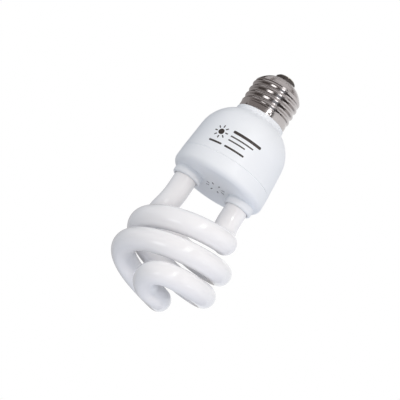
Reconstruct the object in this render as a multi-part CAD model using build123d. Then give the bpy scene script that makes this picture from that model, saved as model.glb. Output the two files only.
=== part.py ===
from build123d import *
import os
from math import acos, cos, degrees, radians, sin, sqrt, tan

# A self-ballasted compact fluorescent ultraviolet lamp: a half-spiral discharge tube, a two-part plastic
# housing with its ballast, and an E27 screw cap. Millimetres, +Z towards the cap. The origin is the middle of
# the centre contact's face, and the lamp hangs below it. The tube's two legs stand on the X axis.

# Overall levels
cap_height = 25.4               # contact face to the housing's ledge, where the cap's skirt ends
housing_height = 42.25          # ledge to the face of the tube plate
ring_height = 9.05              # face of the tube plate to the seam between the two halves

# Upper housing half, a dome on a slightly tapered side
seam_radius = 24.55
side_taper = 4.6                # degrees
dome_radius = 19.6
housing_wall = 1.7
ledge_radius = 13.2             # short upright collar that the cap stands on
ledge_collar = 1.2              # its height, down to the hollow curve that leads into the dome
ledge_fillet = 2.2
ledge_rounding = 0.4
neck_wall = 1.4
neck_rise = 11.0                # ledge to the top of the neck inside the cap

# Lower housing half, the ring with the tube plate
ring_taper = 2.5                # degrees
ring_corner = 3.2
plate_thickness = 1.8
seam_chamfer = 0.25
lip_height = 5.0                # inner lip that snaps into the upper half
lip_wall = 1.2
lip_clearance = 0.15
snap_height = 0.4
snap_width = 1.2
snap_drop = 2.0                 # top of the lip to the middle of the snap bead
board_rise = 0.9                # seam to the top of the ribs that carry the board
rib_count = 4
rib_width = 3.0
rib_depth = 2.4
rib_angle = 45.0                # degrees from the legs to the first rib
collar_diameter = 15.0
collar_height = 4.0
collar_rounding = 0.9
sleeve_height = 5.5             # the collar's sleeve inside the housing, above the plate
leg_clearance = 0.35
vent_count = 8
vent_length = 2.1
vent_width = 0.7
vent_radius = 4.7

# Discharge tube: two straight legs, two strands of a helix and the bridge at the tip
tube_diameter = 11.8
leg_spacing = 29.4
leg_straight = 10.0             # below the plate
leg_rise = 7.9                  # above the face of the plate, into the housing
leg_end_rounding = 2.5
strand_radius_a = 22.9          # the two strands are wound on slightly different radii,
strand_radius_b = 23.4          # about a centre a little off the housing's axis
winding_centre_x = 1.5
winding_centre_y = 1.5
winding_pitch = 27.6
winding_depth = 25.45           # plate to the start of the helix
winding_start = 47.5            # degrees round from the leg
winding_turn = 381.0            # degrees of helix in each strand
tip_depth = 61.4                # plate to the middle of the bridge
tip_heading = 29.5              # degrees, direction of the bridge across the axis
bend_reach = 14.8               # control arms of the bends, leg to helix
lead_in_reach = 10.2
hook_reach = 17.2               # control arms of the bends, helix to bridge
tip_reach = 8.2

# Screw cap E27, rolled from sheet
thread_pitch = 25.4 / 7
thread_crest_radius = 13.2
thread_depth = 1.0
thread_run_out = 2.2            # height over which the thread fades out at each end
thread_step = 0.05              # step down from the plain sheet to the rolled thread
crest_depth = 12.45             # contact face to a crest on the +X side
turn_sections = 8               # cross-sections in one turn of the thread
section_points = 12             # points on each of them
cap_sheet = 0.3
skirt_radius = 12.9
skirt_height = 2.6
shoulder_depth = 8.7            # contact face to the foot of the shoulder
shoulder_radius = 12.75
shoulder_curve = 13.5           # radius of the shoulder's curve
rim_depth = 2.7                 # contact face to the shell's top rim
rim_radius = 6.2
cap_play = 0.1
stake_count = 12
stake_radius = 0.75
stake_depth = 0.22
stake_rise = 1.3                # ledge to the middle of the staking marks

# Insulator and centre contact
contact_radius = 4.6
contact_thickness = 0.5
contact_rounding = 0.3
eyelet_radius = 1.5
eyelet_wall = 0.35
insulator_radius = 5.4
insulator_rounding = 0.8
insulator_play = 0.05
insulator_foot_radius = 9.6
insulator_thickness = 2.2

# Ballast board and what stands on it
board_thickness = 1.6
board_clearance = 0.3
lead_radius = 0.35
lead_hole_clearance = 0.15
lead_offset = 2.2               # filament leads, either side of the leg's middle
lead_stand = 3.0                # end of a filament lead above the board
pin_width = 0.8
pin_height = 5.0
pin_gap = 0.5
capacitor_place = (8.0, 8.0)
capacitor_radius = 5.0
capacitor_headroom = 10.7       # ledge to the top of the smoothing capacitor
capacitor_groove = 0.5
capacitor_groove_rise = 2.4
choke_place = (-5.5, -9.5)
core_width = 16.0
core_height = 13.0
core_depth = 5.0
core_leg = 2.5
core_centre_leg = 4.0
bobbin_wall = 0.6
bobbin_flange = 0.8
bobbin_play = 0.15
bobbin_depth = 11.0
winding_inset = 0.4
winding_rounding = 1.5
toroid_place = (-6.5, 8.5)
toroid_radius = 5.0
toroid_bore = 2.8
toroid_height = 4.6
toroid_chamfer = 0.7
transistor_places = ((8.5, -6.5), (8.5, -11.3))
transistor_width = 8.0
transistor_depth = 2.8
transistor_height = 11.0
transistor_hole = 1.55
transistor_hole_drop = 3.7
transistor_leg_width = 0.8
transistor_leg_depth = 0.5
transistor_leg_pitch = 2.3
transistor_leg_height = 3.0
diode_reach = 6.0               # the four diodes of the bridge lie along X, two by two
diode_row = -2.2
diode_row_pitch = 3.5
diode_radius = 1.3
diode_length = 5.0
diode_rise = 2.0
diode_span = 8.0
edge_margin = 0.4               # outer corners of the film capacitors to the edge of the board
resonant_offset = 0.5           # along X, on the +Y side
resonant_size = (9.0, 4.5, 9.5)
starting_offset = 3.6           # along X, on the -Y side
starting_size = (7.0, 3.0, 7.5)
film_rounding = 0.9
fuse_radius = 1.6
fuse_length = 8.5
fuse_rounding = 0.6
fuse_depth = 15.0               # contact face to the top of the fusible resistor
live_foot = (0.6, -1.5)
live_bend = 4.0
neutral_foot = (0.8, 10.0)
neutral_inset = 0.8             # neutral lead to the wall of the neck's bore
neutral_bend = 1.2
cement_inset = 0.8              # cement back from the mouth of the collar

# Levels and fits worked out from the sizes above
ledge_level = -cap_height
plate_level = ledge_level - housing_height
seam_level = plate_level + ring_height
taper = radians(side_taper)
throat_centre_r = ledge_radius + ledge_fillet
throat_centre_z = ledge_level - ledge_collar
throat_reach = dome_radius + ledge_fillet
# The dome's centre lies dome_radius inside the tapered side, and throat_reach from the hollow curve's centre
run_r = seam_radius - dome_radius * cos(taper) - throat_centre_r
run_z = seam_level - dome_radius * sin(taper) - throat_centre_z
run_along = run_z * cos(taper) - run_r * sin(taper)
side_length = -run_along - sqrt(run_along**2 - run_r**2 - run_z**2 + throat_reach**2)
dome_level = seam_level + side_length * cos(taper)
dome_start_radius = seam_radius - side_length * sin(taper)
dome_centre_r = dome_start_radius - dome_radius * cos(taper)
dome_centre_z = dome_level - dome_radius * sin(taper)
root_radius = thread_crest_radius - thread_depth
skirt_level = ledge_level + skirt_height
shoulder_chord = sqrt((shoulder_radius - rim_radius) ** 2 + (shoulder_depth - rim_depth) ** 2)
shoulder_sink = sqrt(shoulder_curve**2 - (shoulder_chord / 2) ** 2) / shoulder_chord
shoulder_centre_r = (shoulder_radius + rim_radius) / 2 - shoulder_sink * (shoulder_depth - rim_depth)
shoulder_centre_z = -(shoulder_depth + rim_depth) / 2 - shoulder_sink * (shoulder_radius - rim_radius)
neck_top = ledge_level + neck_rise
neck_foot_radius = skirt_radius - cap_sheet - cap_play
neck_radius = root_radius - cap_sheet - cap_play
neck_bore = neck_radius - neck_wall
tube_radius = tube_diameter / 2
leg_radius = leg_spacing / 2
leg_bore = tube_radius + leg_clearance
leg_top = plate_level + leg_rise
board_level = seam_level + board_rise
board_top = board_level + board_thickness
lip_base = seam_radius - housing_wall / cos(taper) - lip_clearance
lip_top_radius = lip_base - lip_height * tan(taper)
board_radius = lip_top_radius - lip_wall - board_clearance
rim_inner = insulator_radius + insulator_play


def turned(outline):
    """Solid of revolution about Z from a closed outline in (radius, height)."""
    return revolve(Plane.XZ * make_face(outline), Axis.Z)


def tube_along(path, radius):
    """Round wire or tube of one radius along a path."""
    return sweep(Plane(path @ 0, z_dir=path % 0) * Circle(radius), path=path)


def dome_edges(inset, end_radius):
    """Housing's side and dome, moved inwards by inset, from the seam to the given radius."""
    foot = (seam_radius - inset / cos(taper), seam_level)
    bend = (dome_start_radius - inset * cos(taper), dome_level - inset * sin(taper))
    radius = dome_radius - inset
    turn = degrees(acos((end_radius - dome_centre_r) / radius)) - side_taper
    return [Line(foot, bend), JernArc(bend, (-sin(taper), cos(taper)), radius, turn)]


def upper_housing():
    """Dome with the ledge for the cap and the neck that the cap's shell is staked to."""
    meet_r = dome_centre_r + (throat_centre_r - dome_centre_r) * dome_radius / throat_reach
    side, dome = dome_edges(0, meet_r)
    throat = TangentArc(dome @ 1, (ledge_radius, throat_centre_z), tangent=dome % 1)
    ledge = Polyline(throat @ 1, (ledge_radius, ledge_level), (0, ledge_level), (0, seam_level), side @ 0)
    outer = turned([side, dome, throat] + ledge.edges())
    outer = fillet(outer.edges().filter_by(GeomType.CIRCLE).group_by(Axis.Z)[-1], ledge_rounding)

    neck_step = skirt_level - cap_play
    neck = Polyline(
        (0, ledge_level - housing_wall), (neck_foot_radius, ledge_level - housing_wall),
        (neck_foot_radius, neck_step), (neck_radius, neck_step), (neck_radius, neck_top), (0, neck_top),
        close=True,
    )
    inner_side, inner_dome = dome_edges(housing_wall, neck_bore)
    above = neck_top + housing_wall
    bore = Polyline(inner_dome @ 1, (neck_bore, above), (0, above), (0, seam_level), inner_side @ 0)
    body = outer + turned(neck) - turned([inner_side, inner_dome] + bore.edges())
    body -= snap_ring(lip_clearance)
    return body - seam_cut(1)


def seam_cut(side):
    """Small chamfer on the seam's outer edge, above it for side 1 and below it for side -1."""
    return turned(Polyline(
        (seam_radius - seam_chamfer, seam_level), (seam_radius + seam_chamfer, seam_level),
        (seam_radius + seam_chamfer, seam_level + side * 2 * seam_chamfer), close=True,
    ))


def snap_ring(room):
    """Ridge on the lip that the upper half snaps over, with room all round for its groove."""
    level = seam_level + lip_height - snap_drop
    face = lip_base - (level - seam_level) * tan(taper)
    half = snap_width / 2 + room
    return turned(Polyline(
        (face - lip_wall / 2, level - half), (face, level - half), (face + snap_height + room, level),
        (face, level + half), (face - lip_wall / 2, level + half), close=True,
    ))


def leg_places():
    """Axes of the tube's two legs."""
    return [Pos(leg_radius, 0, 0), Pos(-leg_radius, 0, 0)]


def tube_plate():
    """Lower half: ring, plate with the two collars and the vents, snap lip and ribs for the board."""
    foot_radius = seam_radius + ring_height * tan(radians(ring_taper))
    outline = make_face(Polyline(
        (0, plate_level), (foot_radius, plate_level), (seam_radius, seam_level), (0, seam_level), close=True,
    ))
    corner = outline.vertices().sort_by(Axis.X)[-1]
    body = revolve(Plane.XZ * fillet(corner, ring_corner), Axis.Z)
    floor_level = plate_level + plate_thickness
    inner_radius = lip_base - lip_wall
    body -= turned(Polyline(
        (0, floor_level), (inner_radius - plate_thickness, floor_level),
        (inner_radius, floor_level + plate_thickness), (inner_radius, seam_level), (0, seam_level),
        close=True,
    ))
    lip_top = seam_level + lip_height
    body += turned(Polyline(
        (inner_radius, seam_level - lip_wall), (lip_base, seam_level - lip_wall), (lip_base, seam_level),
        (lip_top_radius, lip_top), (lip_top_radius - lip_wall, lip_top), close=True,
    ))
    body += snap_ring(0)
    for place in leg_places():
        body += place * collar()
    rib_foot = plate_level + plate_thickness / 2
    rib = Box(rib_depth, rib_width, board_level - rib_foot, align=(Align.MAX, Align.CENTER, Align.MIN))
    for number in range(rib_count):
        angle = rib_angle + number * 360 / rib_count
        body += Rot(Z=angle) * Pos(lip_top_radius - lip_wall / 2, 0, rib_foot) * rib
    for place in leg_places():
        body -= place * Pos(0, 0, plate_level) * Cylinder(leg_bore, 2 * (collar_height + sleeve_height))
    body -= seam_cut(-1)
    slot = extrude(SlotOverall(vent_length, vent_width), plate_thickness, both=True)
    for vent in range(vent_count):
        angle = (vent + 0.5) * 360 / vent_count
        body -= Rot(Z=angle) * Pos(vent_radius, 0, plate_level) * slot
    return body


def collar():
    """Collar round a leg, outside the plate, and its sleeve inside the housing."""
    radius = collar_diameter / 2
    outline = make_face(Polyline(
        (0, plate_level - collar_height), (radius, plate_level - collar_height),
        (radius, plate_level + sleeve_height), (0, plate_level + sleeve_height), close=True,
    ))
    rim = outline.vertices().group_by(Axis.Y)[0].sort_by(Axis.X)[-1]
    return revolve(Plane.XZ * fillet(rim, collar_rounding), Axis.Z)


def strand(leg_angle, radius):
    """Edges of one half of the tube's centre line, from the leg's top to the middle of the bridge."""
    foot = Vector(leg_radius, 0, plate_level - leg_straight).rotate(Axis.Z, leg_angle)
    top = Vector(foot.X, foot.Y, leg_top)
    drop = winding_pitch * winding_turn / 360
    low_angle = leg_angle - winding_start - winding_turn
    low = Pos(winding_centre_x, winding_centre_y, plate_level - winding_depth - drop) * Rot(Z=low_angle)
    helix = low * Helix(winding_pitch, drop, radius)
    bend = Bezier(foot, foot - Vector(0, 0, bend_reach), helix @ 1 + (helix % 1) * lead_in_reach, helix @ 1)
    tip = Vector(winding_centre_x, winding_centre_y, plate_level - tip_depth)
    heading = Vector(1, 0, 0).rotate(Axis.Z, leg_angle + tip_heading)
    hook = Bezier(helix @ 0, helix @ 0 - (helix % 0) * hook_reach, tip - heading * tip_reach, tip)
    return [Line(top, foot), bend, helix, hook]


def discharge_tube():
    """The sealed glass tube, wound as a double helix, as one body."""
    edges = [edge for half in (strand(0, strand_radius_a), strand(180, strand_radius_b)) for edge in half]
    section = Plane((leg_radius, 0, leg_top), z_dir=(0, 0, -1)) * Circle(tube_radius)
    tube = sweep(section, path=Wire(edges))
    return fillet(tube.edges().group_by(Axis.Z)[-1], leg_end_rounding)


def leg_cement():
    """Adhesive between each leg and its collar."""
    low = plate_level - collar_height + cement_inset
    high = plate_level + sleeve_height
    ring = Cylinder(leg_bore, high - low) - Cylinder(tube_radius, high - low)
    return [place * Pos(0, 0, (low + high) / 2) * ring for place in leg_places()]


def stake_places():
    """Middles of the balls that dent the skirt where the shell is staked to the neck."""
    reach = skirt_radius + stake_radius - stake_depth
    spot = Pos(reach, 0, ledge_level + stake_rise)
    return [Rot(Z=mark * 360 / stake_count) * spot for mark in range(stake_count)]


def thread_section(level):
    """Cross-section of the rolled thread at one level, a circle that the thread pushes off centre."""
    above_skirt = (level - skirt_level) / thread_run_out
    below_shoulder = (-shoulder_depth - level) / thread_run_out
    rise = min(1, above_skirt, below_shoulder)
    fade = rise * rise * (3 - 2 * rise)
    plain = (skirt_radius if above_skirt < below_shoulder else shoulder_radius) - thread_step
    middle = plain + (thread_crest_radius - thread_depth / 2 - plain) * fade
    crest_angle = (level + crest_depth) / thread_pitch * 360
    points = []
    for number in range(section_points):
        angle = number * 360 / section_points
        radius = middle + thread_depth / 2 * fade * cos(radians(angle - crest_angle))
        points.append(Vector(radius, 0, level).rotate(Axis.Z, angle))
    shares = [number / section_points for number in range(section_points + 1)]
    return Wire([Edge.make_spline(points, periodic=True, parameters=shares)])


def thread_body():
    """Solid body of the thread between the skirt and the shoulder, faded out at both ends."""
    height = -shoulder_depth - skirt_level
    count = round(height / thread_pitch * turn_sections)
    levels = [skirt_level + height * number / count for number in range(count + 1)]
    return Solid.make_loft([thread_section(level) for level in levels], ruled=True)


def shoulder_point(radius, inset):
    """Point on the shoulder's curve, moved inwards by inset."""
    rise = sqrt((shoulder_curve - inset) ** 2 - (radius - shoulder_centre_r) ** 2)
    return (radius, shoulder_centre_z + rise)


def shoulder_body(inset):
    """Domed shoulder of the cap, moved inwards by inset, down to the top of the thread."""
    drop = -shoulder_depth - shoulder_centre_z
    foot_radius = shoulder_centre_r + sqrt((shoulder_curve - inset) ** 2 - drop**2)
    foot = (foot_radius, -shoulder_depth)
    rim = shoulder_point(rim_radius, inset)
    arc = ThreePointArc(foot, shoulder_point((foot_radius + rim_radius) / 2, inset), rim)
    rest = Polyline(rim, (0, rim[1]), (0, -shoulder_depth), foot)
    return turned([arc] + rest.edges())


def cap_shell():
    """Screw shell: skirt with staking marks, rolled thread and domed shoulder round the insulator."""
    skirt = Pos(0, 0, ledge_level + skirt_height / 2) * Cylinder(skirt_radius, skirt_height)
    bore_height = -shoulder_depth - skirt_level
    bore = Pos(0, 0, skirt_level + bore_height / 2) * Cylinder(root_radius - cap_sheet, bore_height)
    mouth = Pos(0, 0, ledge_level + skirt_height / 2) * Cylinder(skirt_radius - cap_sheet, skirt_height)
    shell = skirt + thread_body() + shoulder_body(0) - mouth - bore - shoulder_body(cap_sheet)
    shell -= Cylinder(rim_inner, 2 * shoulder_depth)
    return shell - [place * Sphere(stake_radius) for place in stake_places()]


def cap_insulator():
    """Black glass that holds the contact in the mouth of the shell."""
    room = cap_sheet + insulator_play
    under_rim = shoulder_point(rim_radius, room)
    foot = shoulder_point(insulator_foot_radius, room)
    low = foot[1] - insulator_thickness
    profile = make_face(Polyline(
        (eyelet_radius, -contact_thickness), (insulator_radius, -contact_thickness),
        (insulator_radius, under_rim[1]), under_rim, foot, (foot[0], low), (rim_radius, low),
        (eyelet_radius, under_rim[1] - insulator_thickness), close=True,
    ))
    rim = profile.vertices().group_by(Axis.Y)[-1].sort_by(Axis.X)[-1]
    return revolve(Plane.XZ * fillet(rim, insulator_rounding), Axis.Z)


def centre_contact():
    """Contact disc with its eyelet through the insulator."""
    disc = Pos(0, 0, -contact_thickness / 2) * Cylinder(contact_radius, contact_thickness)
    disc = fillet(disc.edges().group_by(Axis.Z)[-1], contact_rounding)
    length = rim_depth
    eyelet = Cylinder(eyelet_radius, length) - Cylinder(eyelet_radius - eyelet_wall, length)
    return disc + Pos(0, 0, -contact_thickness - length / 2) * eyelet


def filament_lead_places():
    """Two leads at the end of each leg."""
    return [Pos(x, y, 0) for x in (leg_radius, -leg_radius) for y in (lead_offset, -lead_offset)]


def ballast_board():
    """Round board with the holes for the filament leads."""
    board = Cylinder(board_radius, board_thickness)
    hole = Cylinder(lead_radius + lead_hole_clearance, 2 * board_thickness)
    board -= [place * hole for place in filament_lead_places()]
    return Pos(0, 0, board_level + board_thickness / 2) * board


def filament_leads():
    """Leads from the tube's ends up through the board."""
    length = board_top + lead_stand - leg_top
    lead = Pos(0, 0, leg_top + length / 2) * Cylinder(lead_radius, length)
    return [place * lead for place in filament_lead_places()]


def wrap_pins():
    """Square pins beside the filament leads."""
    reach = lead_radius + pin_gap + pin_width / 2
    pin = Pos(0, 0, board_top + pin_height / 2) * Box(pin_width, pin_width, pin_height)
    places = filament_lead_places()
    return [place * Pos(0, reach if place.position.Y > 0 else -reach, 0) * pin for place in places]


def on_board(place):
    """Location on the board's upper face."""
    return Pos(place[0], place[1], board_top)


def smoothing_capacitor():
    """Electrolytic can with the rolled groove near its foot."""
    height = ledge_level - capacitor_headroom - board_top
    can = turned(Polyline(
        (0, 0), (capacitor_radius, 0), (capacitor_radius, capacitor_groove_rise - capacitor_groove),
        (capacitor_radius - capacitor_groove, capacitor_groove_rise),
        (capacitor_radius, capacitor_groove_rise + capacitor_groove), (capacitor_radius, height),
        (0, height), close=True,
    ))
    can = fillet(can.edges().group_by(Axis.Z)[-1], capacitor_groove)
    return on_board(capacitor_place) * can


def choke_core():
    """Ferrite core with two windows, standing on the board."""
    window_width = (core_width - core_centre_leg) / 2 - core_leg
    window = Box(window_width, core_depth, core_height - 2 * core_leg)
    offset = (core_centre_leg + window_width) / 2
    core = Box(core_width, core_depth, core_height) - [Pos(x, 0, 0) * window for x in (offset, -offset)]
    return on_board(choke_place) * Pos(0, 0, core_height / 2) * core


def choke_bobbin():
    """Flanged bobbin on the core's centre leg."""
    height = core_height - 2 * core_leg - 2 * bobbin_play
    bore = (core_centre_leg + 2 * bobbin_play, core_depth + 2 * bobbin_play)
    flange_width = core_width - 2 * core_leg - 2 * bobbin_play
    flange = Box(flange_width, bobbin_depth, bobbin_flange)
    rise = (height - bobbin_flange) / 2
    body = Box(bore[0] + 2 * bobbin_wall, bore[1] + 2 * bobbin_wall, height)
    body += [Pos(0, 0, z) * flange for z in (rise, -rise)]
    return on_board(choke_place) * Pos(0, 0, core_height / 2) * (body - Box(bore[0], bore[1], core_height))


def choke_winding():
    """Wire package on the bobbin."""
    height = core_height - 2 * core_leg - 2 * bobbin_play - 2 * bobbin_flange
    width = core_width - 2 * core_leg - 2 * bobbin_play - 2 * winding_inset
    package = Box(width, bobbin_depth - 2 * winding_inset, height)
    package = fillet(package.edges().filter_by(Axis.Z), winding_rounding)
    sleeve = 2 * (bobbin_play + bobbin_wall)
    package -= Box(core_centre_leg + sleeve, core_depth + sleeve, core_height)
    return on_board(choke_place) * Pos(0, 0, core_height / 2) * package


def drive_toroid():
    """Ring core of the drive transformer."""
    ring = Cylinder(toroid_radius, toroid_height) - Cylinder(toroid_bore, toroid_height)
    ring = chamfer(ring.edges().filter_by(GeomType.CIRCLE), toroid_chamfer)
    return on_board(toroid_place) * Pos(0, 0, toroid_height / 2) * ring


def transistors():
    """Two flat power transistors on three legs each."""
    body = Pos(0, 0, transistor_leg_height + transistor_height / 2) * Box(
        transistor_width, transistor_depth, transistor_height)
    level = transistor_leg_height + transistor_height - transistor_hole_drop
    body -= Pos(0, 0, level) * Rot(X=90) * Cylinder(transistor_hole, 2 * transistor_depth)
    leg = Pos(0, 0, transistor_leg_height / 2) * Box(
        transistor_leg_width, transistor_leg_depth, transistor_leg_height)
    body += [Pos(side * transistor_leg_pitch, 0, 0) * leg for side in (-1, 0, 1)]
    return [on_board(place) * body for place in transistor_places]


def rectifier_diodes():
    """Diodes of the bridge, each on its two bent leads."""
    diode = Rot(Y=90) * (Cylinder(diode_radius, diode_length) + Cylinder(lead_radius, diode_span))
    diode = Pos(0, 0, diode_rise) * diode
    foot = Pos(0, 0, diode_rise / 2) * Cylinder(lead_radius, diode_rise)
    knee = Pos(0, 0, diode_rise) * Sphere(lead_radius)
    diode += [Pos(side * diode_span / 2, 0, 0) * part for side in (-1, 1) for part in (foot, knee)]
    rows = (diode_row, diode_row + diode_row_pitch)
    return [on_board((side * diode_reach, y)) * diode for side in (-1, 1) for y in rows]


def film_capacitor(offset, side, size):
    """Dipped film capacitor at the board's edge, on the side of +Y for 1 and of -Y for -1."""
    corner = abs(offset) + size[0] / 2
    reach = sqrt((board_radius - edge_margin) ** 2 - corner**2) - size[1] / 2
    block = Pos(0, 0, size[2] / 2) * Box(*size)
    return on_board((offset, side * reach)) * fillet(block.edges().filter_by(Axis.Z), film_rounding)


def fuse_resistor():
    """Fusible resistor in the live lead, inside the neck."""
    body = Cylinder(fuse_radius, fuse_length)
    body = fillet(body.edges().filter_by(GeomType.CIRCLE), fuse_rounding)
    return Pos(0, 0, -fuse_depth - fuse_length / 2) * body


def live_lead():
    """Lead from the board to the fusible resistor, and from there to the contact."""
    low = -fuse_depth - fuse_length
    knee = (low + board_top) / 2
    foot = FilletPolyline(
        (live_foot[0], live_foot[1], board_top), (live_foot[0], live_foot[1], knee - live_bend),
        (0, 0, knee + live_bend), (0, 0, low), radius=live_bend)
    top = Line((0, 0, -fuse_depth), (0, 0, -contact_thickness))
    return [tube_along(foot, lead_radius), tube_along(top, lead_radius)]


def neutral_lead():
    """Lead from the board up the neck's bore and over its rim to the shell."""
    reach = neck_bore - neutral_inset
    over = neck_top + neutral_bend
    knee = dome_level
    wall = root_radius - cap_sheet - insulator_play
    path = FilletPolyline(
        (neutral_foot[0], neutral_foot[1], board_top), (neutral_foot[0], neutral_foot[1], knee),
        (0, reach, ledge_level), (0, reach, over), (0, wall, over), radius=neutral_bend)
    return tube_along(path, lead_radius)


def nodes():
    """Every separate piece, by name."""
    return {
        "discharge_tube": discharge_tube(),
        "leg_cement": leg_cement(),
        "tube_plate": tube_plate(),
        "upper_housing": upper_housing(),
        "cap_shell": cap_shell(),
        "cap_insulator": cap_insulator(),
        "centre_contact": centre_contact(),
        "ballast_board": ballast_board(),
        "filament_leads": filament_leads(),
        "wrap_pins": wrap_pins(),
        "smoothing_capacitor": smoothing_capacitor(),
        "choke_core": choke_core(),
        "choke_bobbin": choke_bobbin(),
        "choke_winding": choke_winding(),
        "drive_toroid": drive_toroid(),
        "transistors": transistors(),
        "rectifier_diodes": rectifier_diodes(),
        "resonant_capacitor": film_capacitor(resonant_offset, 1, resonant_size),
        "starting_capacitor": film_capacitor(starting_offset, -1, starting_size),
        "fuse_resistor": fuse_resistor(),
        "live_lead": live_lead(),
        "neutral_lead": neutral_lead(),
    }


os.makedirs("parts", exist_ok=True)
for name, solid in nodes().items():
    pieces = solid if isinstance(solid, list) else solid.solids()
    export_step(Compound(children=list(pieces)), f"parts/{name}.step")
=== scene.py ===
"""Looks of a self-ballasted spiral ultraviolet lamp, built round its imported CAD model.

The CAD nodes keep their shapes and get their finishes here. The screw shell is modelled again with its
softly rolled thread, the centre contact gets its solder, and the housing gets its pad print. The scene is in
metres, in the CAD model's frame: +Z towards the cap, the centre contact's face at the origin, the tube's two
legs on the X axis. The lamp's own sizes are written in millimetres.
"""

import logging
import math
from dataclasses import dataclass, field, replace
from enum import Enum

import bpy
from mathutils import Matrix, Vector

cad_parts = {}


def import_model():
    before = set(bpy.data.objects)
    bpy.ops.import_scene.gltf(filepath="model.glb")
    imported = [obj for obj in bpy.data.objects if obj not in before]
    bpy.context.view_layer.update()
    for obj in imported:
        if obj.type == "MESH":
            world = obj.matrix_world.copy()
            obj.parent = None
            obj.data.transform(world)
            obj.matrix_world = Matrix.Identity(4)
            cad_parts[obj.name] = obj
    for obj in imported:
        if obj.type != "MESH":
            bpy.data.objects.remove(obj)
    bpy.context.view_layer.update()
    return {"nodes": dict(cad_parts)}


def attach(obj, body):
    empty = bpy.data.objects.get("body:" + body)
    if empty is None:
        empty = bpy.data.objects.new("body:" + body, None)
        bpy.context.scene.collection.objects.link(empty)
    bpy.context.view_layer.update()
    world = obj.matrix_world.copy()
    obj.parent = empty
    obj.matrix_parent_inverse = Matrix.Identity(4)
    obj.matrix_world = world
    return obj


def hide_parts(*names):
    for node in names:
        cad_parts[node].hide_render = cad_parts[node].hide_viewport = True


MM = 0.001
BODY = "root"
WHITE = "#FFFFFF"
WHOLE_TURN = 360
SMOOTH_ANGLE = math.radians(40)

# Sockets of the Mix node for colours, by number because other sockets have the same names
MIX_SHARE = 0
MIX_FIRST = 6
MIX_SECOND = 7
MIX_RESULT = 2

log = logging.getLogger("lamp")


def linear(colour: str) -> tuple[float, float, float, float]:
    """Turns an sRGB hex colour into linear light.

    Args:
        colour: six hex digits after a hash sign.

    Returns:
        Linear red, green and blue, with alpha 1.
    """
    shares = (int(colour[place:place + 2], 16) / 255 for place in (1, 3, 5))
    return (*(s / 12.92 if s <= 0.04045 else ((s + 0.055) / 1.055) ** 2.4 for s in shares), 1.0)


def add_node(tree: bpy.types.NodeTree, kind: str, settings: dict[str | int, object] | None = None,
             links: dict[str | int, bpy.types.NodeSocket] | None = None) -> bpy.types.Node:
    """Adds a node with its settings and links.

    Args:
        tree: the node tree that the node joins.
        kind: Blender's name for the node type.
        settings: values by property name, or by input socket name or number.
        links: output sockets by the name or number of the input that they feed.

    Returns:
        The new node.
    """
    node = tree.nodes.new(kind)
    for name, value in (settings or {}).items():
        if isinstance(name, str) and hasattr(node, name):
            setattr(node, name, value)
        else:
            node.inputs[name].default_value = value
    for name, source in (links or {}).items():
        tree.links.new(source, node.inputs[name])
    return node


class Pattern(Enum):
    """How a finish varies over its surface: the scale of its noise along X, Y and Z, where less is longer."""

    EVEN = (1.0, 1.0, 1.0)
    ROUND_AXIS = (0.06, 0.06, 1.0)
    ALONG_X = (0.08, 1.0, 1.0)


@dataclass(frozen=True)
class VentShade:
    """Painted shade on the walls of slots in a level face near the axis, which lose their light to the dark
    inside.

    Sizes in millimetres, as in the CAD model: how far from the axis the slots reach, the level of the face
    that they open into, and how deep the face's own colour goes on at their rim.
    """

    reach: float
    face_level: float
    # colour of the painted shade on the slot walls
    colour: str
    rim: float = 0.02

    def painted_shade(self, tree: bpy.types.NodeTree, place: bpy.types.NodeSocket,
                 colour: bpy.types.NodeSocket) -> bpy.types.NodeSocket:
        """Paints shade on the walls inside the slots, by darkening the colour there.

        Args:
            tree: the material's node tree.
            place: Object coordinates.
            colour: the colour outside the slots.

        Returns:
            The colour everywhere.
        """
        rim_level = (self.face_level + self.rim) * MM
        flat = add_node(tree, "ShaderNodeVectorMath", {"operation": "MULTIPLY", 1: (1, 1, 0)},
                        {0: place}).outputs[0]
        away = add_node(tree, "ShaderNodeVectorMath", {"operation": "LENGTH"}, {0: flat}).outputs["Value"]
        near = add_node(tree, "ShaderNodeMath", {"operation": "LESS_THAN", 1: self.reach * MM},
                        {0: away}).outputs[0]
        level = add_node(tree, "ShaderNodeSeparateXYZ", {}, {0: place}).outputs["Z"]
        inside = add_node(tree, "ShaderNodeMath", {"operation": "GREATER_THAN", 1: rim_level},
                          {0: level}).outputs[0]
        # mask of the painted shade: near the axis and above the face's rim, inside the slots
        share = add_node(tree, "ShaderNodeMath", {"operation": "MULTIPLY"}, {0: near, 1: inside}).outputs[0]
        return add_node(tree, "ShaderNodeMix", {"data_type": "RGBA", MIX_SECOND: linear(self.colour)},
                        {MIX_SHARE: share, MIX_FIRST: colour}).outputs[MIX_RESULT]


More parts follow.
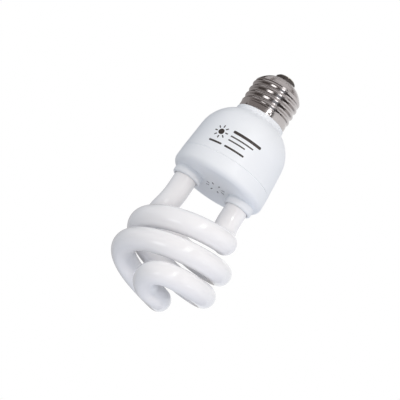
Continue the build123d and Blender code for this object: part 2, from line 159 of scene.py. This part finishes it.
@dataclass(frozen=True)
class Finish:
    """One surface finish, made of a base shader with a slow drift of colour and a fine grain.

    The sizes are those of the real material in millimetres: drift_mm is how far apart its lighter and darker
    patches lie, grain_mm how coarse its texture is, and relief_mm how high that texture stands. A texture
    that is too fine to show is drawn coarser, and its comment says so.
    """

    name: str
    colour: str
    drift_colour: str
    drift_mm: float
    grain_mm: float
    relief_mm: float
    roughness: float
    roughness_spread: float = 0.04
    metallic: float = 0.0
    ior: float = 1.5
    specular: float = 0.5
    coat: float = 0.0
    coat_roughness: float = 0.03
    pattern: Pattern = Pattern.EVEN
    drift_detail: float = 3.0
    grain_detail: float = 4.0
    # painted shade on the walls of slots, where the surface has any
    vent_shade: VentShade | None = None

    def material(self) -> bpy.types.Material:
        """Builds the node material, or finds it where it was built before.

        Returns:
            The material, on Object coordinates.
        """
        known = bpy.data.materials.get(self.name)
        if known:
            return known
        material = bpy.data.materials.new(self.name)
        material.use_nodes = True
        tree = material.node_tree
        shader = tree.nodes["Principled BSDF"]
        fixed = {
            "Metallic": self.metallic, "IOR": self.ior, "Specular IOR Level": self.specular,
            "Coat Weight": self.coat, "Coat Roughness": self.coat_roughness, "Coat IOR": self.ior,
        }
        for socket, value in fixed.items():
            shader.inputs[socket].default_value = value

        place = add_node(tree, "ShaderNodeTexCoord").outputs["Object"]
        stretched = add_node(tree, "ShaderNodeMapping", {"Scale": self.pattern.value},
                             {"Vector": place}).outputs[0]
        drift, grain = (
            add_node(tree, "ShaderNodeTexNoise", {"Scale": 1 / (size * MM), "Detail": detail},
                     {"Vector": stretched}).outputs[0]
            for size, detail in ((self.drift_mm, self.drift_detail), (self.grain_mm, self.grain_detail))
        )
        colours = add_node(tree, "ShaderNodeMix", {"data_type": "RGBA", MIX_FIRST: linear(self.colour),
                                                   MIX_SECOND: linear(self.drift_colour)},
                           {MIX_SHARE: drift}).outputs[MIX_RESULT]
        # painted shade on the slot walls
        if self.vent_shade:
            colours = self.vent_shade.painted_shade(tree, place, colours)
        rough = add_node(tree, "ShaderNodeMapRange",
                         {"To Min": self.roughness - self.roughness_spread,
                          "To Max": self.roughness + self.roughness_spread}, {"Value": grain})
        relief = add_node(tree, "ShaderNodeBump", {"Distance": self.relief_mm * MM, "Strength": 1.0},
                          {"Height": grain})
        tree.links.new(colours, shader.inputs["Base Color"])
        tree.links.new(rough.outputs[0], shader.inputs["Roughness"])
        tree.links.new(relief.outputs[0], shader.inputs["Normal"])
        return material

    def dress(self, piece: bpy.types.Object) -> None:
        """Gives a piece this finish in place of what it had."""
        piece.data.materials.clear()
        piece.data.materials.append(self.material())


# White fluorescent powder behind a smooth wall of soda-lime glass: a soft matt white body under a sharp gloss
COATED_GLASS = Finish("phosphor_coated_glass", "#F9F8F9", "#F6F5F6", drift_mm=9, grain_mm=0.9,
                      relief_mm=0.0004, roughness=0.6, ior=1.52, specular=0.0, coat=1.0)
# PBT moulded in a fine spark-eroded tool: cool white with a satin skin, whose grain is drawn coarser to show
HOUSING_PBT = Finish("moulded_white_pbt", "#F3F5F8", "#EEF1F5", drift_mm=14, grain_mm=0.35, relief_mm=0.004,
                     roughness=0.42, roughness_spread=0.05)
# The same PBT on the lower half, with painted shade on the walls of the slots that open into the dark inside,
# so that they look almost black
PBT_WITH_VENT_SHADE = replace(HOUSING_PBT, name="white_pbt_with_painted_vent_shade",
                     vent_shade=VentShade(reach=6.2, face_level=-67.65, colour="#3A3A3C"))
# Nickel plate on a shell rolled from sheet: a faintly warm grey mirror with the rollers' fine lines round the
# axis, drawn coarser than they are to show
NICKEL_SHEET = Finish("rolled_nickel_plate", "#C6C1C0", "#B8B3B2", drift_mm=5, grain_mm=0.5, relief_mm=0.0005,
                      roughness=0.2, metallic=1.0, pattern=Pattern.ROUND_AXIS)
# Black glass melted into the cap's mouth: brown-black, a little uneven, with a soft gloss
CAP_GLASS = Finish("black_cap_glass", "#3A3330", "#423A37", drift_mm=3, grain_mm=1.2, relief_mm=0.02,
                   roughness=0.5, ior=1.55)
# Brass contact dipped in tin: soft grey metal with a faint yellow cast
TINNED_BRASS = Finish("tinned_brass", "#B4AFA3", "#A19B8E", drift_mm=2, grain_mm=0.25, relief_mm=0.004,
                      roughness=0.3, roughness_spread=0.08, metallic=1.0)
# Tin solder set in air: bright grey, slightly frosted
SOLDER = Finish("tin_solder", "#C4C4C2", "#ABABA9", drift_mm=0.8, grain_mm=0.2, relief_mm=0.006,
                roughness=0.34, roughness_spread=0.08, metallic=1.0)
# Pad-printing ink: a thin matt brown-black film that follows the plastic's texture
PRINT_INK = Finish("black_pad_print", "#3A3431", "#453E3B", drift_mm=2, grain_mm=0.35, relief_mm=0.003,
                   roughness=0.5)
# Filled silicone cement: off-white and chalky
CEMENT = Finish("white_cement", "#DAD8D2", "#CFCCC4", drift_mm=2, grain_mm=0.4, relief_mm=0.03, roughness=0.8)
# Paper laminate: tan brown with the paper's fibres along one way
LAMINATE = Finish("paper_laminate", "#B98F5C", "#A87F4E", drift_mm=3, grain_mm=0.2, relief_mm=0.004,
                  roughness=0.55, pattern=Pattern.ALONG_X)
# Tinned copper wire: bright soft metal
TINNED_WIRE = Finish("tinned_copper_wire", "#C9C6C0", "#B5B1AA", drift_mm=1.5, grain_mm=0.2, relief_mm=0.003,
                     roughness=0.28, metallic=1.0)
# PVC shrink sleeve on the can: dark blue-black with a soft gloss
SHRINK_SLEEVE = Finish("pvc_shrink_sleeve", "#1C2230", "#232A3A", drift_mm=6, grain_mm=0.5, relief_mm=0.004,
                       roughness=0.28)
# Sintered ferrite: charcoal grey, fine stony grain
FERRITE = Finish("sintered_ferrite", "#3B3B3D", "#303032", drift_mm=1.5, grain_mm=0.15, relief_mm=0.006,
                 roughness=0.6)
# Phenolic bobbin: brown-black moulding
BOBBIN = Finish("phenolic_moulding", "#201C1A", "#292422", drift_mm=4, grain_mm=0.3, relief_mm=0.004,
                roughness=0.45)
# Enamelled copper wire wound turn by turn: red-brown gloss with fine level lines
COPPER_TURNS = Finish("enamelled_copper_turns", "#A5512A", "#7E3A1C", drift_mm=0.35, grain_mm=0.3,
                      relief_mm=0.05, roughness=0.3, metallic=0.6, pattern=Pattern.ROUND_AXIS)
# Moulded epoxy: plain matt black
EPOXY = Finish("black_epoxy", "#1A1A1B", "#232324", drift_mm=2, grain_mm=0.2, relief_mm=0.004, roughness=0.55)
# Dipped lacquer of film capacitors: brick red with a rounded gloss
DIP_LACQUER = Finish("dipped_red_lacquer", "#8E3420", "#7D2B1A", drift_mm=3, grain_mm=0.8, relief_mm=0.02,
                     roughness=0.25)
# Flameproof lacquer of the fusible resistor: chalky sea green
RESISTOR_LACQUER = Finish("flameproof_lacquer", "#7C9A8C", "#6E8B7E", drift_mm=1.5, grain_mm=0.3,
                          relief_mm=0.01, roughness=0.65)
# Matt white studio paint: pale and even
FLOOR_PAINT = Finish("matt_floor_paint", "#F2F2F2", "#EEEEEE", drift_mm=300, grain_mm=4, relief_mm=0.02,
                     roughness=0.9)


def dressed(nodes: dict[str, bpy.types.Object], finishes: dict[str, Finish]) -> None:
    """Dresses CAD nodes that keep their shapes.

    Args:
        nodes: the CAD nodes by name.
        finishes: the finish of each node by its name.
    """
    for name, finish in finishes.items():
        finish.dress(nodes[name])
        log.info("node %s: %s", name, finish.name)


def finished(piece: bpy.types.Object, finish: Finish,
             replaces: str | None = None) -> None:
    """Dresses a new piece and ties it to the lamp.

    Args:
        piece: the modelled mesh, in place.
        finish: its surface.
        replaces: the CAD node that it stands for, if any.
    """
    finish.dress(piece)
    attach(piece, BODY)
    if replaces:
        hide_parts(replaces)
    log.info("piece %s: %d faces, %s", piece.name, len(piece.data.polygons), finish.name)


def started(name: str) -> bpy.types.Object:
    """Names the object that was just made and puts its place into its mesh.

    Args:
        name: the piece's name.

    Returns:
        The object, selected and active.
    """
    piece = bpy.context.object
    piece.name = name
    piece.data.name = name
    bpy.ops.object.transform_apply(location=True, rotation=True, scale=True)
    return piece


def applied(piece: bpy.types.Object, kind: str, **settings: object) -> None:
    """Adds a modifier to the active piece and applies it.

    Args:
        piece: the active object.
        kind: the modifier's type.
        settings: its values by name.
    """
    modifier = piece.modifiers.new(kind.lower(), kind)
    for name, value in settings.items():
        setattr(modifier, name, value)
    bpy.ops.object.modifier_apply(modifier=modifier.name)


@dataclass
class DischargeTube:
    """The spiral tube and the cement that holds its legs."""

    finishes: dict[str, Finish] = field(default_factory=lambda: {
        "discharge_tube": COATED_GLASS, "leg_cement": CEMENT,
    })

    def build(self, nodes: dict[str, bpy.types.Object]) -> None:
        """Dresses the tube and its cement."""
        dressed(nodes, self.finishes)


@dataclass(frozen=True)
class Bar:
    """One bar of the print, in millimetres from the print's middle."""

    left: float
    level: float
    length: float
    height: float


@dataclass
class Housing:
    """The two plastic halves and the pad print on the upper one, a sun and plain bars.

    Sizes in millimetres, angles in degrees. The print's direction counts from -Y towards +X.
    """

    seam_level: float = -58.6
    seam_radius: float = 24.55
    side_taper: float = 4.6
    print_direction: float = -4.0
    print_level: float = -49.5
    sun_place: tuple[float, float] = (-9.4, 1.5)
    sun_radius: float = 1.6
    ray_count: int = 8
    ray: Bar = Bar(2.3, 0.0, 1.6, 0.6)
    bars: tuple[Bar, ...] = (
        Bar(-3.8, 4.2, 16.0, 1.5), Bar(-3.8, 1.4, 13.0, 0.7), Bar(-3.8, -0.9, 9.5, 0.7),
        Bar(-13.0, -4.6, 7.5, 1.0), Bar(-3.8, -4.6, 11.0, 1.0),
    )
    disc_corners: int = 40
    corner_share: float = 0.42
    corner_segments: int = 4
    cut_spacing: float = 1.0
    cuts_each_way: int = 15
    ink_lift: float = 0.01
    ink_thickness: float = 0.02

    def build_bar(self, bar: Bar) -> bpy.types.Object:
        """Models one bar flat on the XY plane, from a plane whose corners are rounded.

        Args:
            bar: its place and size.

        Returns:
            The new piece, in millimetres.
        """
        bpy.ops.object.select_all(action="DESELECT")
        bpy.ops.mesh.primitive_plane_add(size=1.0, location=(bar.left + bar.length / 2, bar.level, 0))
        bpy.context.object.scale = (bar.length, bar.height, 1)
        piece = started("printed_bar")
        bpy.ops.object.mode_set(mode="EDIT")
        bpy.ops.mesh.select_all(action="SELECT")
        bpy.ops.mesh.bevel(affect="VERTICES", offset=bar.height * self.corner_share,
                           segments=self.corner_segments)
        bpy.ops.object.mode_set(mode="OBJECT")
        return piece

    def build_sun(self) -> list[bpy.types.Object]:
        """Models the sun flat on the XY plane, a disc with one ray that is copied round it.

        Returns:
            The disc and the rays, in millimetres.
        """
        bpy.ops.object.select_all(action="DESELECT")
        bpy.ops.mesh.primitive_circle_add(vertices=self.disc_corners, radius=self.sun_radius,
                                          fill_type="NGON")
        pieces = [started("printed_disc"), self.build_bar(self.ray)]
        for _ in range(self.ray_count - 1):
            bpy.ops.object.duplicate()
            bpy.context.object.rotation_euler.z = math.tau / self.ray_count
            pieces.append(started("printed_ray"))
        for piece in pieces:
            piece.location = (*self.sun_place, 0)
        return pieces

    def on_side(self, across: float, up: float) -> Vector:
        """Point on the upper half's tapered side.

        Args:
            across: millimetres to the right of the print's middle, round the housing.
            up: millimetres above it.

        Returns:
            The point, in millimetres.
        """
        level = self.print_level + up
        radius = self.seam_radius - (level - self.seam_level) * math.tan(math.radians(self.side_taper))
        angle = math.radians(self.print_direction - 90) + across / radius
        return Vector((radius * math.cos(angle), radius * math.sin(angle), level))

    def build_print(self, carrier: bpy.types.Object) -> bpy.types.Object:
        """Joins the flat marks, cuts them finely, wraps them round the housing and thickens the ink.

        Args:
            carrier: the upper half, which the ink lies on.

        Returns:
            The new piece.
        """
        marks = self.build_sun() + [self.build_bar(bar) for bar in self.bars]
        for mark in marks:
            mark.select_set(True)
        bpy.ops.object.join()
        ink = started("printed_marks")
        bpy.ops.object.mode_set(mode="EDIT")
        for axis in (Vector((1, 0, 0)), Vector((0, 1, 0))):
            for number in range(-self.cuts_each_way, self.cuts_each_way + 1):
                bpy.ops.mesh.select_all(action="SELECT")
                bpy.ops.mesh.bisect(plane_co=axis * number * self.cut_spacing, plane_no=axis)
        bpy.ops.object.mode_set(mode="OBJECT")
        for vertex in ink.data.vertices:
            vertex.co = self.on_side(vertex.co.x, vertex.co.y) * MM
        applied(ink, "SHRINKWRAP", target=carrier, wrap_mode="ABOVE_SURFACE", offset=self.ink_lift * MM)
        applied(ink, "SOLIDIFY", thickness=self.ink_thickness * MM, offset=1.0)
        bpy.ops.object.shade_smooth_by_angle(angle=SMOOTH_ANGLE)
        return ink

    def build(self, nodes: dict[str, bpy.types.Object]) -> None:
        """Dresses the two halves and prints the upper one.

        Args:
            nodes: the CAD nodes by name.
        """
        # the lower half carries the painted shade in its slots
        dressed(nodes, {"upper_housing": HOUSING_PBT, "tube_plate": PBT_WITH_VENT_SHADE})
        finished(self.build_print(nodes["upper_housing"]), PRINT_INK)


@dataclass
class ScrewCap:
    """The E27 cap: rolled shell, black glass and centre contact. Sizes in millimetres, angles in degrees.

    The outline is the CAD model's. The thread's depth and run-out, the ripples and the place of the staking
    marks follow the reflections on the real cap.
    """

    ledge_level: float = -25.4
    skirt_radius: float = 12.9
    skirt_height: float = 2.6
    thread_pitch: float = 25.4 / 7
    crest_radius: float = 13.2
    thread_depth: float = 0.76
    run_out: float = 2.2
    crest_depth: float = 12.45
    shoulder_level: float = -8.7
    shoulder_radius: float = 12.75
    shoulder_curve: float = 13.5
    ripple_height: float = 0.035
    ripple_spacing: float = 1.0
    rim_level: float = -2.7
    rim_radius: float = 6.2
    rim_inner: float = 5.45
    sheet: float = 0.3
    stake_count: int = 12
    stake_turn: float = 15.0
    stake_radius: float = 0.7
    stake_depth: float = 0.22
    stake_rise: float = 0.9
    segments: int = 256
    ring_cuts: tuple[int, int] = (12, 11)
    crease_angle: float = 50.0
    solder_radius: float = 1.9
    solder_height: float = 0.35
    solder_segments: int = 40
    solder_rings: int = 24

    def outline(self, share: float) -> tuple[float, float]:
        """Point on the shell's plain outline, without thread.

        Args:
            share: how far along it, from 0 at the skirt's foot to 1 at the inner edge of the rim.

        Returns:
            Radius and level.
        """
        inward, upward = self.shoulder_radius - self.rim_radius, self.rim_level - self.shoulder_level
        half = math.asin(math.hypot(inward, upward) / 2 / self.shoulder_curve)
        side = self.shoulder_level - self.ledge_level
        shoulder = 2 * half * self.shoulder_curve
        run = share * (side + shoulder + self.rim_radius - self.rim_inner)
        if run <= side:
            level = self.ledge_level + run
            return self.plain_radius(level), level
        run -= side
        if run <= shoulder:
            first = math.atan2(inward, upward) - half
            turn = first + run / self.shoulder_curve
            ripple = self.ripple_height * math.sin(math.tau * run / self.ripple_spacing)
            return (self.shoulder_radius - self.shoulder_curve * (math.cos(first) - math.cos(turn)) + ripple,
                    self.shoulder_level + self.shoulder_curve * (math.sin(turn) - math.sin(first)))
        return self.rim_radius - (run - shoulder), self.rim_level

    def fade(self, level: float) -> float:
        """Share of the full thread at a level, from 0 on the plain sheet to 1.

        Args:
            level: height in the CAD frame.

        Returns:
            The share, with a smooth run-out at each end of the thread.
        """
        below = (level - self.ledge_level - self.skirt_height) / self.run_out
        above = (self.shoulder_level - level) / self.run_out
        rise = max(0.0, min(1.0, below, above))
        return rise * rise * (3 - 2 * rise)

    def plain_radius(self, level: float) -> float:
        """Middle radius of the sheet between the skirt's foot and the shoulder.

        Args:
            level: height in the CAD frame.

        Returns:
            The radius, halfway between crest and root where the thread is full.
        """
        middle = (self.ledge_level + self.skirt_height + self.shoulder_level) / 2
        plain = self.skirt_radius if level < middle else self.shoulder_radius
        return plain + (self.crest_radius - self.thread_depth / 2 - plain) * self.fade(level)

    def shell_point(self, share: float, angle: float) -> Vector:
        """Point on the shell's outer face, with the thread and the staking marks.

        Args:
            share: how far along the outline.
            angle: direction round the axis, in radians.

        Returns:
            The point, in millimetres.
        """
        radius, level = self.outline(share)
        crest = (level + self.crest_depth) / self.thread_pitch * math.tau
        if level < self.shoulder_level:
            radius += self.thread_depth / 2 * self.fade(level) * math.cos(angle - crest)
        step = math.tau / self.stake_count
        across = ((angle - math.radians(self.stake_turn) + step / 2) % step - step / 2) * self.skirt_radius
        away = math.hypot(across, level - self.ledge_level - self.stake_rise) / self.stake_radius
        radius -= self.stake_depth * max(0.0, 1 - away * away)
        return Vector((radius * math.cos(angle), radius * math.sin(angle), level))

    def build_shell(self) -> bpy.types.Object:
        """Models the shell from an open cylinder, whose rings are cut, pushed to the outline and thickened.

        Returns:
            The new piece.
        """
        bpy.ops.object.select_all(action="DESELECT")
        bpy.ops.mesh.primitive_cylinder_add(vertices=self.segments, radius=1.0, depth=1.0,
                                            end_fill_type="NOTHING", location=(0, 0, 0.5))
        shell = started("screw_shell")
        bpy.ops.object.mode_set(mode="EDIT")
        for cuts in self.ring_cuts:
            self.select_uprights(shell)
            bpy.ops.mesh.subdivide(number_cuts=cuts)
        bpy.ops.object.mode_set(mode="OBJECT")
        for vertex in shell.data.vertices:
            angle = math.atan2(vertex.co.y, vertex.co.x)
            vertex.co = self.shell_point(vertex.co.z, angle) * MM
        applied(shell, "SOLIDIFY", thickness=self.sheet * MM, offset=-1.0)
        bpy.ops.object.shade_smooth_by_angle(angle=math.radians(self.crease_angle))
        return shell

    @staticmethod
    def select_uprights(shell: bpy.types.Object) -> None:
        """Selects the edges of a cylinder that run along its axis, in edit mode.

        Args:
            shell: the cylinder.
        """
        bpy.ops.mesh.select_all(action="DESELECT")
        bpy.ops.object.mode_set(mode="OBJECT")
        bpy.context.tool_settings.mesh_select_mode = (False, True, False)
        points = shell.data.vertices
        for edge in shell.data.edges:
            low, high = (points[number].co for number in edge.vertices)
            edge.select = abs(low.z - high.z) > abs(low.x - high.x) + abs(low.y - high.y)
        bpy.ops.object.mode_set(mode="EDIT")

    def build_solder(self) -> bpy.types.Object:
        """Models the low solder bead on the contact from a sphere that is cut and flattened.

        Returns:
            The new piece.
        """
        bpy.ops.object.select_all(action="DESELECT")
        bpy.ops.mesh.primitive_uv_sphere_add(segments=self.solder_segments, ring_count=self.solder_rings,
                                             radius=self.solder_radius * MM)
        bead = started("contact_solder")
        bpy.ops.object.mode_set(mode="EDIT")
        bpy.ops.mesh.select_all(action="SELECT")
        bpy.ops.mesh.bisect(plane_co=(0, 0, 0), plane_no=(0, 0, 1), clear_inner=True, use_fill=True)
        bpy.ops.mesh.select_all(action="SELECT")
        bpy.ops.transform.resize(value=(1, 1, self.solder_height / self.solder_radius),
                                 center_override=(0, 0, 0))
        bpy.ops.object.mode_set(mode="OBJECT")
        bpy.ops.object.shade_smooth_by_angle(angle=SMOOTH_ANGLE)
        return bead

    def build(self, nodes: dict[str, bpy.types.Object]) -> None:
        """Models the cap's pieces and dresses its nodes.

        Args:
            nodes: the CAD nodes by name.
        """
        finished(self.build_shell(), NICKEL_SHEET, "cap_shell")
        finished(self.build_solder(), SOLDER)
        dressed(nodes, {"cap_insulator": CAP_GLASS, "centre_contact": TINNED_BRASS})


@dataclass
class Ballast:
    """The ballast inside the housing, whose nodes keep their shapes."""

    finishes: dict[str, Finish] = field(default_factory=lambda: {
        "ballast_board": LAMINATE, "filament_leads": TINNED_WIRE, "wrap_pins": TINNED_WIRE,
        "live_lead": TINNED_WIRE, "neutral_lead": TINNED_WIRE, "smoothing_capacitor": SHRINK_SLEEVE,
        "choke_core": FERRITE, "choke_bobbin": BOBBIN, "choke_winding": COPPER_TURNS, "drive_toroid": FERRITE,
        "transistors": EPOXY, "rectifier_diodes": EPOXY, "resonant_capacitor": DIP_LACQUER,
        "starting_capacitor": DIP_LACQUER, "fuse_resistor": RESISTOR_LACQUER,
    })

    def build(self, nodes: dict[str, bpy.types.Object]) -> None:
        """Dresses the board and what stands on it."""
        dressed(nodes, self.finishes)


class LightUse(Enum):
    """What a softbox does: whether it shades surfaces, and whether it shows in their gloss."""

    BOTH = (True, True)
    SHADE = (True, False)
    GLOSS = (False, True)


@dataclass(frozen=True)
class Softbox:
    """A studio light, placed by its direction from the lamp as the camera sees it.

    The direction is to the right of the picture (across), up it (above) and towards the camera. Lengths in
    metres. The glow is that of the lit face, where 1 looks white.
    """

    name: str
    across: float
    above: float
    towards: float
    width: float
    height: float
    glow: float
    colour: str = WHITE
    distance: float = 1.0
    use: LightUse = LightUse.BOTH

    def power(self) -> float:
        """Power that gives the lit face its glow."""
        return self.glow * math.pi * self.width * self.height


@dataclass(frozen=True)
class Screen:
    """A backlit cloth round the lamp that its nickel mirrors, between two directions and two heights.

    Angles in degrees. Directions count from -Y towards +X, and a screen spans less than half a turn or a
    whole one. The glow drifts between full and its dimmest share, over the drift's length in metres.
    """

    name: str
    first: float
    last: float
    low: float
    high: float
    colour: str
    dimmest: float = 0.85
    drift: float = 0.4

    def material(self) -> bpy.types.Material:
        """Builds the cloth's own glow, a little uneven.

        Returns:
            The material.
        """
        material = bpy.data.materials.new(self.name)
        material.use_nodes = True
        material.cycles.emission_sampling = "NONE"
        tree = material.node_tree
        tree.nodes.clear()
        place = add_node(tree, "ShaderNodeTexCoord").outputs["Object"]
        drift = add_node(tree, "ShaderNodeTexNoise", {"Scale": 1 / self.drift}, {"Vector": place})
        strength = add_node(tree, "ShaderNodeMapRange", {"To Min": self.dimmest, "To Max": 1.0},
                            {"Value": drift.outputs[0]})
        glow = add_node(tree, "ShaderNodeEmission", {"Color": linear(self.colour)},
                        {"Strength": strength.outputs[0]})
        add_node(tree, "ShaderNodeOutputMaterial", {}, {"Surface": glow.outputs[0]})
        return material

    def cuts(self, middle: Vector, radius: float) -> list[tuple[Vector, Vector]]:
        """Planes that cut the screen from a sphere.

        Args:
            middle: the sphere's middle.
            radius: its radius.

        Returns:
            A point and the direction of the kept side for each plane.
        """
        up = Vector((0, 0, 1))
        low, high = (middle + up * radius * math.sin(math.radians(angle)) for angle in (self.low, self.high))
        planes = [(low, up), (high, -up)]
        if self.last - self.first < WHOLE_TURN:
            first, last = (math.radians(angle) for angle in (self.first, self.last))
            planes.append((middle, Vector((math.cos(first), math.sin(first), 0))))
            planes.append((middle, -Vector((math.cos(last), math.sin(last), 0))))
        return planes


@dataclass
class Studio:
    """Camera, lights, floor, screens and white surround.

    Lengths in metres, angles in degrees, the camera's lens and sensor in millimetres.
    """

    aim: tuple[float, float, float] = (-0.0034, 0.0045, -0.0758)
    distance: float = 1.1213
    turn: float = 5.557
    below: float = 16.145
    lean: float = 33.46
    lens: float = 204.6
    sensor: float = 36.0
    sight: float = 100.0
    floor_level: float = -1.4
    floor_size: float = 14.0
    surround: float = 0.53
    surround_colour: str = "#F0F5FD"
    screen_radius: float = 1.3
    screen_segments: int = 72
    screen_rings: int = 48
    screens: tuple[Screen, ...] = (
        Screen("brown_screen", -90, 14, -12, 28, "#9E9896"),
        Screen("brown_band", -90, 14, 28, 44, "#463F3C"),
        Screen("back_brown_screen", -178, -90, -12, 28, "#B4B0AF"),
        Screen("back_brown_band", -178, -90, 28, 44, "#4A4441"),
        Screen("low_screen", -90, 10, -80, -12, "#524B48"),
        Screen("back_low_screen", -178, -90, -80, -12, "#8A8684"),
        Screen("dark_screen", 27, 44, -12, 44, "#2E2826"),
        Screen("low_dark_screen", 36, 85, -80, -12, "#3A3431"),
        Screen("low_right_screen", 85, 190, -80, -12, "#C4BFBD"),
        Screen("ceiling_edge", -180, 180, 44, 58, "#E6E3E3"),
        Screen("ceiling_band", -180, 180, 58, 66, "#8A8482"),
        Screen("ceiling_screen", -180, 180, 66, 89, "#EFECEC"),
    )
    lights: tuple[Softbox, ...] = (
        Softbox("left_softbox", -0.56, -0.06, 0.82, 0.36, 0.34, 2.8),
        Softbox("right_core", 0.52, 0.36, 0.78, 0.1, 0.1, 20.0),
        Softbox("right_strip", 0.52, 0.36, 0.78, 0.24, 1.5, 1.3, distance=1.05, use=LightUse.GLOSS),
        Softbox("low_core", 0.65, -0.52, 0.53, 0.14, 0.14, 2.5),
        Softbox("high_key", 0.62, 0.62, 0.48, 0.2, 0.2, 12.0, use=LightUse.SHADE),
        Softbox("front_key", 0.42, 0.19, 0.88, 0.08, 0.08, 112.0, "#FFF0DE", use=LightUse.SHADE),
        Softbox("low_fill", 0.1, -0.9, 0.3, 1.0, 1.0, 0.98, "#E8EEFF", use=LightUse.SHADE),
        Softbox("top_fill", -0.4, 0.82, 0.35, 1.0, 1.0, 0.34, use=LightUse.SHADE),
    )

    def axes(self) -> Matrix:
        """The camera's axes as columns: right, up and back.

        Returns:
            A 3 by 3 matrix.
        """
        turn, below, lean = (math.radians(angle) for angle in (self.turn, self.below, self.lean))
        level = Matrix.Rotation(turn, 3, "Z") @ Matrix.Rotation(math.pi / 2 + below, 3, "X")
        return level @ Matrix.Rotation(lean, 3, "Z")

    def build(self) -> None:
        """Places the camera, the lights, the floor, the screens and the surround."""
        axes = self.axes()
        self.place_camera(axes)
        for light in self.lights:
            self.hang(light, axes)
        self.lay_floor()
        for screen in self.screens:
            self.raise_screen(screen)
        self.light_surround()
        bpy.context.scene.view_settings.view_transform = "Standard"

    def place_camera(self, axes: Matrix) -> None:
        """Places the camera where the photograph was taken from.

        Args:
            axes: the camera's axes.
        """
        data = bpy.data.cameras.new("photo_camera")
        data.lens = self.lens
        data.sensor_width = self.sensor
        data.clip_end = self.sight
        camera = bpy.data.objects.new("photo_camera", data)
        place = Vector(self.aim) + axes.col[2] * self.distance
        camera.matrix_world = Matrix.LocRotScale(place, axes.to_quaternion(), None)
        bpy.context.scene.collection.objects.link(camera)
        bpy.context.scene.camera = camera

    def hang(self, light: Softbox, axes: Matrix) -> None:
        """Hangs one softbox, turned towards the lamp.

        Args:
            light: the softbox.
            axes: the camera's axes.
        """
        data = bpy.data.lights.new(light.name, "AREA")
        data.shape = "RECTANGLE"
        data.size = light.width
        data.size_y = light.height
        data.energy = light.power()
        data.color = linear(light.colour)[:3]
        box = bpy.data.objects.new(light.name, data)
        towards = (axes @ Vector((light.across, light.above, light.towards))).normalized()
        box.matrix_world = Matrix.LocRotScale(Vector(self.aim) + towards * light.distance,
                                              towards.to_track_quat("Z", "Y"), None)
        box.visible_diffuse, box.visible_glossy = light.use.value
        box.visible_camera = False
        bpy.context.scene.collection.objects.link(box)

    def lay_floor(self) -> None:
        """Lays the pale floor well below the lamp, which hangs from its cap."""
        bpy.ops.object.select_all(action="DESELECT")
        bpy.ops.mesh.primitive_plane_add(size=self.floor_size, location=(0, 0, self.floor_level))
        floor = started("studio_floor")
        FLOOR_PAINT.dress(floor)

    def raise_screen(self, screen: Screen) -> None:
        """Raises one screen, cut from a sphere round the lamp, which shows in reflections and nowhere else.

        Args:
            screen: where it stands and how it glows.
        """
        bpy.ops.object.select_all(action="DESELECT")
        bpy.ops.mesh.primitive_uv_sphere_add(segments=self.screen_segments, ring_count=self.screen_rings,
                                             radius=self.screen_radius, location=self.aim)
        cloth = started(screen.name)
        bpy.ops.object.mode_set(mode="EDIT")
        for point, kept_side in screen.cuts(Vector(self.aim), self.screen_radius):
            bpy.ops.mesh.select_all(action="SELECT")
            bpy.ops.mesh.bisect(plane_co=point, plane_no=kept_side, clear_inner=True)
        bpy.ops.object.mode_set(mode="OBJECT")
        cloth.data.materials.append(screen.material())
        cloth.visible_camera = cloth.visible_diffuse = cloth.visible_shadow = False
        cloth.visible_transmission = False

    def light_surround(self) -> None:
        """Makes the surround white to the eye and in reflections, and a plain even light otherwise."""
        world = bpy.data.worlds.new("studio_surround")
        bpy.context.scene.world = world
        world.use_nodes = True
        tree = world.node_tree
        path = add_node(tree, "ShaderNodeLightPath")
        seen = add_node(tree, "ShaderNodeMath", {"operation": "MAXIMUM"},
                        {0: path.outputs["Is Camera Ray"], 1: path.outputs["Is Glossy Ray"]})
        seen = add_node(tree, "ShaderNodeMath", {"operation": "MAXIMUM"},
                        {0: seen.outputs[0], 1: path.outputs["Is Transmission Ray"]})
        strength = add_node(tree, "ShaderNodeMapRange", {"To Min": self.surround, "To Max": 1.0},
                            {"Value": seen.outputs[0]})
        colours = {"data_type": "RGBA", MIX_FIRST: linear(self.surround_colour), MIX_SECOND: linear(WHITE)}
        colour = add_node(tree, "ShaderNodeMix", colours, {MIX_SHARE: seen.outputs[0]})
        background = tree.nodes["Background"]
        tree.links.new(colour.outputs[MIX_RESULT], background.inputs["Color"])
        tree.links.new(strength.outputs[0], background.inputs["Strength"])


def main() -> None:
    """Builds the lamp's sub-assemblies in order, then the studio."""
    logging.basicConfig(level=logging.INFO, format="%(name)s: %(message)s")
    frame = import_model()
    for assembly in (DischargeTube(), Housing(), ScrewCap(), Ballast()):
        log.info("building %s", type(assembly).__name__)
        assembly.build(frame["nodes"])
    Studio().build()


if __name__ == "__main__":
    main()
